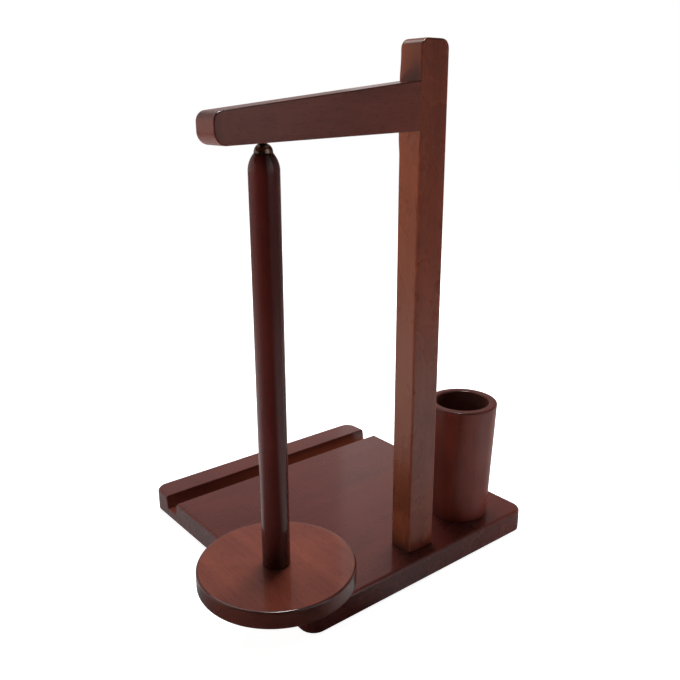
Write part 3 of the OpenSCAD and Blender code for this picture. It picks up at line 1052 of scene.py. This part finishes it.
@dataclass
class Spindle:
    """Turned spindle with a rounded shoulder and a socket for the ball, and the round tray below it."""

    centre: Pair = (-74.1835, -64.0)
    ball_z: float = 258.7552
    rod_r: float = 7.5
    rod_foot_z: float = 44.5
    shoulder_z: float = 250.4552
    rim_z: float = 258.4552
    shoulder_r: float = 12.5
    # Painted shade: how far up from the foot the spindle is painted darker.
    deep_stain: float = 32.0
    lip_r: float = 4.6
    lip_share: float = 0.6
    pocket_r: float = 5.2
    pocket_drop: float = 1.7785
    magnet_hole_r: float = 3.06
    magnet_hole_drop: float = 10.51
    rod_segments: int = 96
    tray_r: float = 43.0
    tray_z: Pair = (34.5, 44.5)
    tray_edge_r: float = 1.2
    tray_rim_w: float = 1.2
    tray_shares: Triple = (0.2, 0.8, 1.0)
    tray_segments: int = 224
    # Its edge colour is also the painted shade at the spindle's foot.
    rod_finish: StainedWood = StainedWood(
        "spindle_mahogany", "spindle_wood", Grain.ALONG_Z, (0.02, 0.01, 0.05), light=(86, 31, 25),
        dark=(62, 21, 17), edge=(38, 14, 11), roughness=0.2, specular=0.16, coat=0.42, coat_roughness=0.04)
    tray_finish: StainedWood = StainedWood(
        "tray_mahogany", "tray_wood", Grain.ALONG_Y, (0.04, -0.03, 0.02), light=(132, 66, 50),
        dark=(98, 46, 35), edge=(64, 26, 20), fibres=0.7, pores=0.55, roughness=0.3, specular=0.08,
        coat=0.9, coat_roughness=0.07)

    def rod_surface(self) -> Sweep:
        """Turns the spindle's profile: up the rod, over the shoulder's arc, and down into the ball's socket.

        Painted shade darkens it towards the foot, where the spindle meets the tray. The socket is part of a
        sphere about the ball's middle, then the wider pocket of the dished pad, then the hole of the magnet.

        Returns:
            The spindle's surface.
        """
        top = np.degrees(np.arcsin((self.rim_z - self.shoulder_z) / self.shoulder_r))
        shoulder = arc((self.rod_r - self.shoulder_r, self.shoulder_z), self.shoulder_r, 0, top, 22)
        shoulder[:, 2] = np.linspace(0.0, 1.0, len(shoulder)) ** 3
        lip_turn = -np.degrees(np.arcsin(np.array([self.ball_z - self.rim_z, self.pocket_drop]) / self.lip_r))
        lip = arc((0.0, self.ball_z), self.lip_r, lip_turn[0], lip_turn[1], 4)
        pocket_start = -np.degrees(np.arcsin(self.pocket_drop / self.pocket_r))
        pocket_end = -np.degrees(np.arccos(self.magnet_hole_r / self.pocket_r))
        pocket = arc((0.0, self.ball_z), self.pocket_r, pocket_start, pocket_end, 8)
        lip[:, 2], pocket[:, 2] = self.lip_share, 0.0
        hole_z = self.ball_z - self.magnet_hole_drop
        rod = np.linspace(self.rod_foot_z + FOOT_EDGE_R, self.shoulder_z, 40)[1:-1]
        # Painted shade at the foot: the edge colour's share falls from 1 at the foot to 0 at this reach.
        deep = np.clip((self.rod_foot_z + self.deep_stain - rod) / self.deep_stain, 0.0, 1.0)
        profile = np.concatenate([turned_foot(self.rod_r, self.rod_foot_z),
                                  np.stack([np.full_like(rod, self.rod_r), rod, deep], axis=1),
                                  shoulder, lip, pocket, flat((self.magnet_hole_r, hole_z), (0.0, hole_z))])
        return turned(profile, self.centre, self.rod_segments)

    def tray_surface(self) -> Sweep:
        """Turns the tray's profile: a flat disc whose two edges are quarter circles.

        The stain deepens from its lower edge to its upper one.

        Returns:
            The tray's surface.
        """
        (low, high), edge = self.tray_z, self.tray_edge_r
        rim = self.tray_r - edge
        profile = np.concatenate([flat((0.0, low)), arc((rim, low + edge), edge, -90, 0, 8),
                                  arc((rim, high - edge), edge, 0, 90, 8),
                                  flat((rim - self.tray_rim_w, high), (0.0, high))])
        lowest, middle, highest = self.tray_shares
        profile[1:18, 2] = np.concatenate([np.linspace(lowest, middle, 9), np.linspace(middle, highest, 8)])
        return turned(profile, self.centre, self.tray_segments)

    def build(self, screws: "Screws") -> None:
        """Builds the spindle, and the tray with its countersunk hole.

        Args:
            screws: Sizes of the screws.
        """
        place(self.rod_surface(), "spindle_rod_wood", "spindle_rod", self.rod_finish, "spindle")
        hole = screws.hole(self.centre, self.tray_z[0], self.tray_z[1] - self.tray_z[0])
        place(self.tray_surface(), "tray_disc_wood", "tray_disc", self.tray_finish, "spindle", (hole,))


@dataclass
class Screws:
    """Places and holes of the countersunk wood screws."""

    board_centres: tuple[Pair, ...] = ((22.1835, -64.0), (32.1835, -64.0), (81.1835, -52.5))
    shank_r: float = 2.2
    head_r: float = 3.8
    head_h: float = 1.8
    head_play: float = 0.2
    segments: int = 48

    def hole(self, centre: Pair, face_z: float, depth: float) -> Sweep:
        """Countersunk hole, cut upwards from the face that the screw head lies flush with.

        Args:
            centre: Place of the hole.
            face_z: Height of that face.
            depth: Thickness of the wood.

        Returns:
            The hole's surface, which runs past both faces.
        """
        low, high = face_z - CUT_OVERRUN, face_z + depth + CUT_OVERRUN
        profile = flat((0.0, low), (self.head_r + CUT_OVERRUN, low),
                       (self.shank_r, face_z + self.head_h - self.head_play), (self.shank_r, high),
                       (0.0, high))
        return turned(profile, centre, self.segments)


@dataclass
class Pivot:
    """Polished steel ball that the spindle hangs by."""

    middle: Triple = (-74.1835, -64.0, 258.7552)
    radius: float = 4.5
    segments: int = 96
    # The steel is painted dark and brown: painted shade from the arm above it, and a painted reflection of the
    # wood round it.
    finish: Metal = Metal("shaded_bearing_steel", "ball_steel", (118, 98, 86), (78, 64, 55), 0.09, 0.3)

    def surface(self) -> Sweep:
        """Ball as a turned half circle, with a pole at each end.

        Returns:
            The ball's surface.
        """
        half = arc((0.0, self.middle[2]), self.radius, -90, 90, self.segments // 2)
        half[[0, -1], 0] = 0.0
        half[:, 2] = 0.0
        return turned(half, self.middle[:2], self.segments)

    def build(self) -> None:
        """Builds the ball."""
        place(self.surface(), "pivot_ball_steel", "pivot_ball", self.finish, "ball")


@dataclass
class Fittings:
    """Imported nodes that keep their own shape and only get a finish."""

    finishes: tuple[tuple[Finish, tuple[str, ...]], ...] = (
        (Rubber("foot_rubber", "pad_rubber"), ("foot_pads",)),
        (Metal("screw_zinc", "screw_steel", (188, 190, 192), (132, 134, 136), 0.3, 0.8),
         ("post_screws", "cup_screw", "tray_screw")),
        (Metal("nickel_plate", "magnet_nickel", (206, 202, 196), (160, 156, 150), 0.12, 0.5),
         ("arm_magnet", "tip_magnet")),
        (Metal("pressed_brass", "seat_brass", (214, 172, 96), (160, 120, 60), 0.22, 0.6), ("ball_seat",)),
        (StainedWood("dowel_birch", "dowel_wood", Grain.ALONG_X, (0.0, 0.06, 0.1), light=(214, 184, 140),
                     dark=(186, 150, 106), edge=(190, 156, 112), roughness=0.62, coat=0.0), ("arm_dowels",)),
    )

    def build(self, nodes: dict[str, bpy.types.Object]) -> None:
        """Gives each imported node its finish.

        Args:
            nodes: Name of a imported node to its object.
        """
        for finish, names in self.finishes:
            for name in names:
                nodes[name].material_slots[0].material = finish.material()
                log.info("%s keeps its shape: %s", name, finish.name)


@dataclass
class Softbox:
    """A soft lamp that faces the holder."""

    name: str
    place: Triple
    width: float
    height: float
    power: float
    aim: Triple = (0.0, -0.02, 0.14)
    mirrored: bool = True
    lights: bool = True

    def build(self) -> None:
        """Adds the lamp, turned towards the point that it is aimed at."""
        data = bpy.data.lights.new(self.name, "AREA")
        data.shape, data.size, data.size_y, data.energy = "RECTANGLE", self.width, self.height, self.power
        lamp = show(self.name, data)
        lamp.location = self.place
        lamp.rotation_euler = (Vector(self.aim) - Vector(self.place)).to_track_quat("-Z", "Y").to_euler()
        lamp.visible_camera, lamp.visible_glossy, lamp.visible_diffuse = False, self.mirrored, self.lights


@dataclass
class Studio:
    """White studio: a pale floor with a soft shadow, soft lamps, and a world white behind the holder."""

    floor_half: float = 3.0
    floor_tone: float = 0.75
    shown_floor: float = 0.93
    mirrored_floor: float = 0.9
    mirrored_backdrop: float = 0.75
    room_light: float = 0.02
    far: Pair = (0.25, 0.9)
    # Painted pool of light: how much the mirrored paper falls off far from the holder.
    far_drop: float = 0.6
    board_middle: Pair = (0.0262, 0.013)
    board_half: float = 0.092
    # Painted shade next to the board: its level and its reach.
    contact_level: float = 0.4
    contact_reach: float = 0.07
    lamps: tuple[Softbox, ...] = (
        Softbox("back_lamp", (0.470, 0.385, 1.041), 0.75, 0.45, 17.0, mirrored=False),
        Softbox("back_left_lamp", (-0.012, 0.611, 1.041), 0.45, 0.45, 1.8),
        Softbox("overhead_lamp", (-0.05, -0.07, 0.80), 0.22, 0.22, 5.5, (-0.05, -0.07, 0.0), lights=False),
        Softbox("left_low_lamp", (-0.95, 0.30, 0.42), 0.4, 0.5, 1.1, mirrored=False),
        Softbox("left_table_lamp", (-0.54, 0.14, 0.02), 0.6, 0.6, 8.2, (-0.54, 0.14, 0.0), mirrored=False),
        Softbox("right_table_lamp", (0.24, -0.24, 0.02), 0.22, 0.22, 1.45, (0.24, -0.24, 0.0),
                mirrored=False),
        Softbox("right_lamp", (0.80, -0.16, 0.22), 0.4, 0.4, 1.6, (0.05, -0.05, 0.03), mirrored=False),
    )

    def floor(self) -> None:
        """Lays the floor: one large face that is white to the camera, and pale to everything that it lights.

        The lacquer mirrors the paper's level, which falls off far from the holder and close to the board: a
        painted pool of light round the holder, and a painted shade next to the board.
        """
        mesh = bpy.data.meshes.new("studio_floor")
        signs = ((-1, -1), (1, -1), (1, 1), (-1, 1))
        corners = [(x * self.floor_half, y * self.floor_half, 0.0) for x, y in signs]
        mesh.from_pydata(corners, [], [(0, 1, 2, 3)])
        plate = show("studio_floor", mesh)
        material, graph = blank(bpy.data.materials, "studio_floor")
        spot = graph.add("ShaderNodeTexCoord").outputs["Object"]
        far = graph.ramp(graph.vector("LENGTH", spot), *self.far)
        # Painted shade: the mirrored paper is darkened within a short way of the board's outline.
        sides = graph.vector("ABSOLUTE", graph.vector("SUBTRACT", spot, (*self.board_middle, 0.0)))
        sides = graph.add("ShaderNodeSeparateXYZ", {0: sides}).outputs
        gap = graph.math("SUBTRACT", graph.math("MAXIMUM", sides[0], sides[1]), self.board_half)
        clear = graph.math("MULTIPLY", graph.ramp(gap, 0.0, self.contact_reach), 1.0 - self.contact_level)
        # Painted pool of light: the mirrored paper is brighter near the holder than far from it.
        near = graph.math("SUBTRACT", 1.0, graph.math("MULTIPLY", far, self.far_drop))
        near = graph.math("MULTIPLY", near, graph.math("ADD", self.contact_level, clear))
        level = graph.math("MULTIPLY", graph.effect(white_surround, {"Direction": spot})["Paper"], near)
        shown = graph.math("ADD", self.shown_floor, graph.math("MULTIPLY", far, 1.0 - self.shown_floor))
        path = graph.add("ShaderNodeLightPath").outputs
        paper = graph.add("ShaderNodeBsdfDiffuse", {"Color": (*[self.floor_tone] * 3, 1.0)})
        bright = graph.math("MULTIPLY", path["Is Camera Ray"], shown)
        glow = graph.add("ShaderNodeEmission", {"Strength": bright})
        seen = graph.add("ShaderNodeAddShader", {0: paper.outputs[0], 1: glow.outputs[0]})
        mirrored = graph.math("MULTIPLY", level, self.mirrored_floor)
        image = graph.add("ShaderNodeEmission", {"Strength": mirrored})
        both = graph.add("ShaderNodeMixShader",
                         {0: self.mirror_ray(graph, path), 1: seen.outputs[0], 2: image.outputs[0]})
        graph.add("ShaderNodeOutputMaterial", {"Surface": both.outputs[0]})
        mesh.materials.append(material)

    @staticmethod
    def mirror_ray(graph: Graph, path: Outputs) -> Socket:
        """Whether a ray comes from a mirror image in lacquer or metal, given the light path's outputs."""
        return graph.math("MAXIMUM", path["Is Glossy Ray"], path["Is Transmission Ray"])

    def world(self) -> None:
        """Makes the world white to the camera, a backdrop to the lacquer, and a faint light to all else."""
        bpy.context.scene.world, graph = blank(bpy.data.worlds, "studio")
        ray = graph.add("ShaderNodeTexCoord").outputs["Generated"]
        path = graph.add("ShaderNodeLightPath").outputs
        level = graph.math("MULTIPLY", self.mirror_ray(graph, path), self.mirrored_backdrop)
        level = graph.math("MULTIPLY", graph.effect(white_surround, {"Direction": ray})["Backdrop"], level)
        level = graph.math("ADD", level, path["Is Camera Ray"],
                           graph.math("MULTIPLY", path["Is Diffuse Ray"], self.room_light))
        white = graph.add("ShaderNodeBackground", {"Color": paint((255, 255, 255)), "Strength": level})
        graph.add("ShaderNodeOutputWorld", {"Surface": white.outputs[0]})

    def build(self) -> None:
        """Builds the floor, the world and the lamps."""
        self.floor()
        self.world()
        for lamp in self.lamps:
            lamp.build()
            log.info("lamp %s at %.1f W", lamp.name, lamp.power)
        bpy.context.scene.view_settings.view_transform = "Standard"


@dataclass
class PhotoCamera:
    """Camera at the photograph's place, worked out from the holder's outline."""

    place: Triple = (-0.2730025, -0.365664, 0.280985)
    yaw: float = 51.1303
    pitch: float = 17.24455
    roll: float = -0.216679
    focal_px: float = 769.779
    clip: Pair = (0.01, 50.0)

    def build(self) -> None:
        """Adds the camera: forward from yaw and pitch, right from yaw alone, both turned by the roll."""
        yaw, pitch, roll = np.radians([self.yaw, self.pitch, self.roll])
        forward = np.array([np.cos(yaw) * np.cos(pitch), np.sin(yaw) * np.cos(pitch), -np.sin(pitch)])
        level = np.array([np.sin(yaw), -np.cos(yaw), 0.0])
        raised = np.cross(level, forward)
        right = np.cos(roll) * level + np.sin(roll) * raised
        up = -np.sin(roll) * level + np.cos(roll) * raised
        data = bpy.data.cameras.new("photo_camera")
        data.sensor_width = SENSOR_MM
        data.lens = self.focal_px / PHOTO_SIDE_PX * SENSOR_MM
        data.clip_start, data.clip_end = self.clip
        camera = show("photo_camera", data)
        turn = Matrix(np.stack([right, up, -forward], axis=1).tolist())
        camera.matrix_world = Matrix.Translation(self.place) @ turn.to_4x4()
        bpy.context.scene.camera = camera


def main() -> None:
    """Builds the camera, the studio and the holder's sub-assemblies, in that order."""
    logging.basicConfig(level=logging.INFO, format="%(name)s: %(message)s")
    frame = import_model()
    PhotoCamera().build()
    Studio().build()
    screws = Screws()
    BaseBoard().build(screws)
    Post().build()
    Arm().build()
    ToolCup().build()
    Spindle().build(screws)
    Pivot().build()
    Fittings().build(frame["nodes"])


if __name__ == "__main__":
    main()
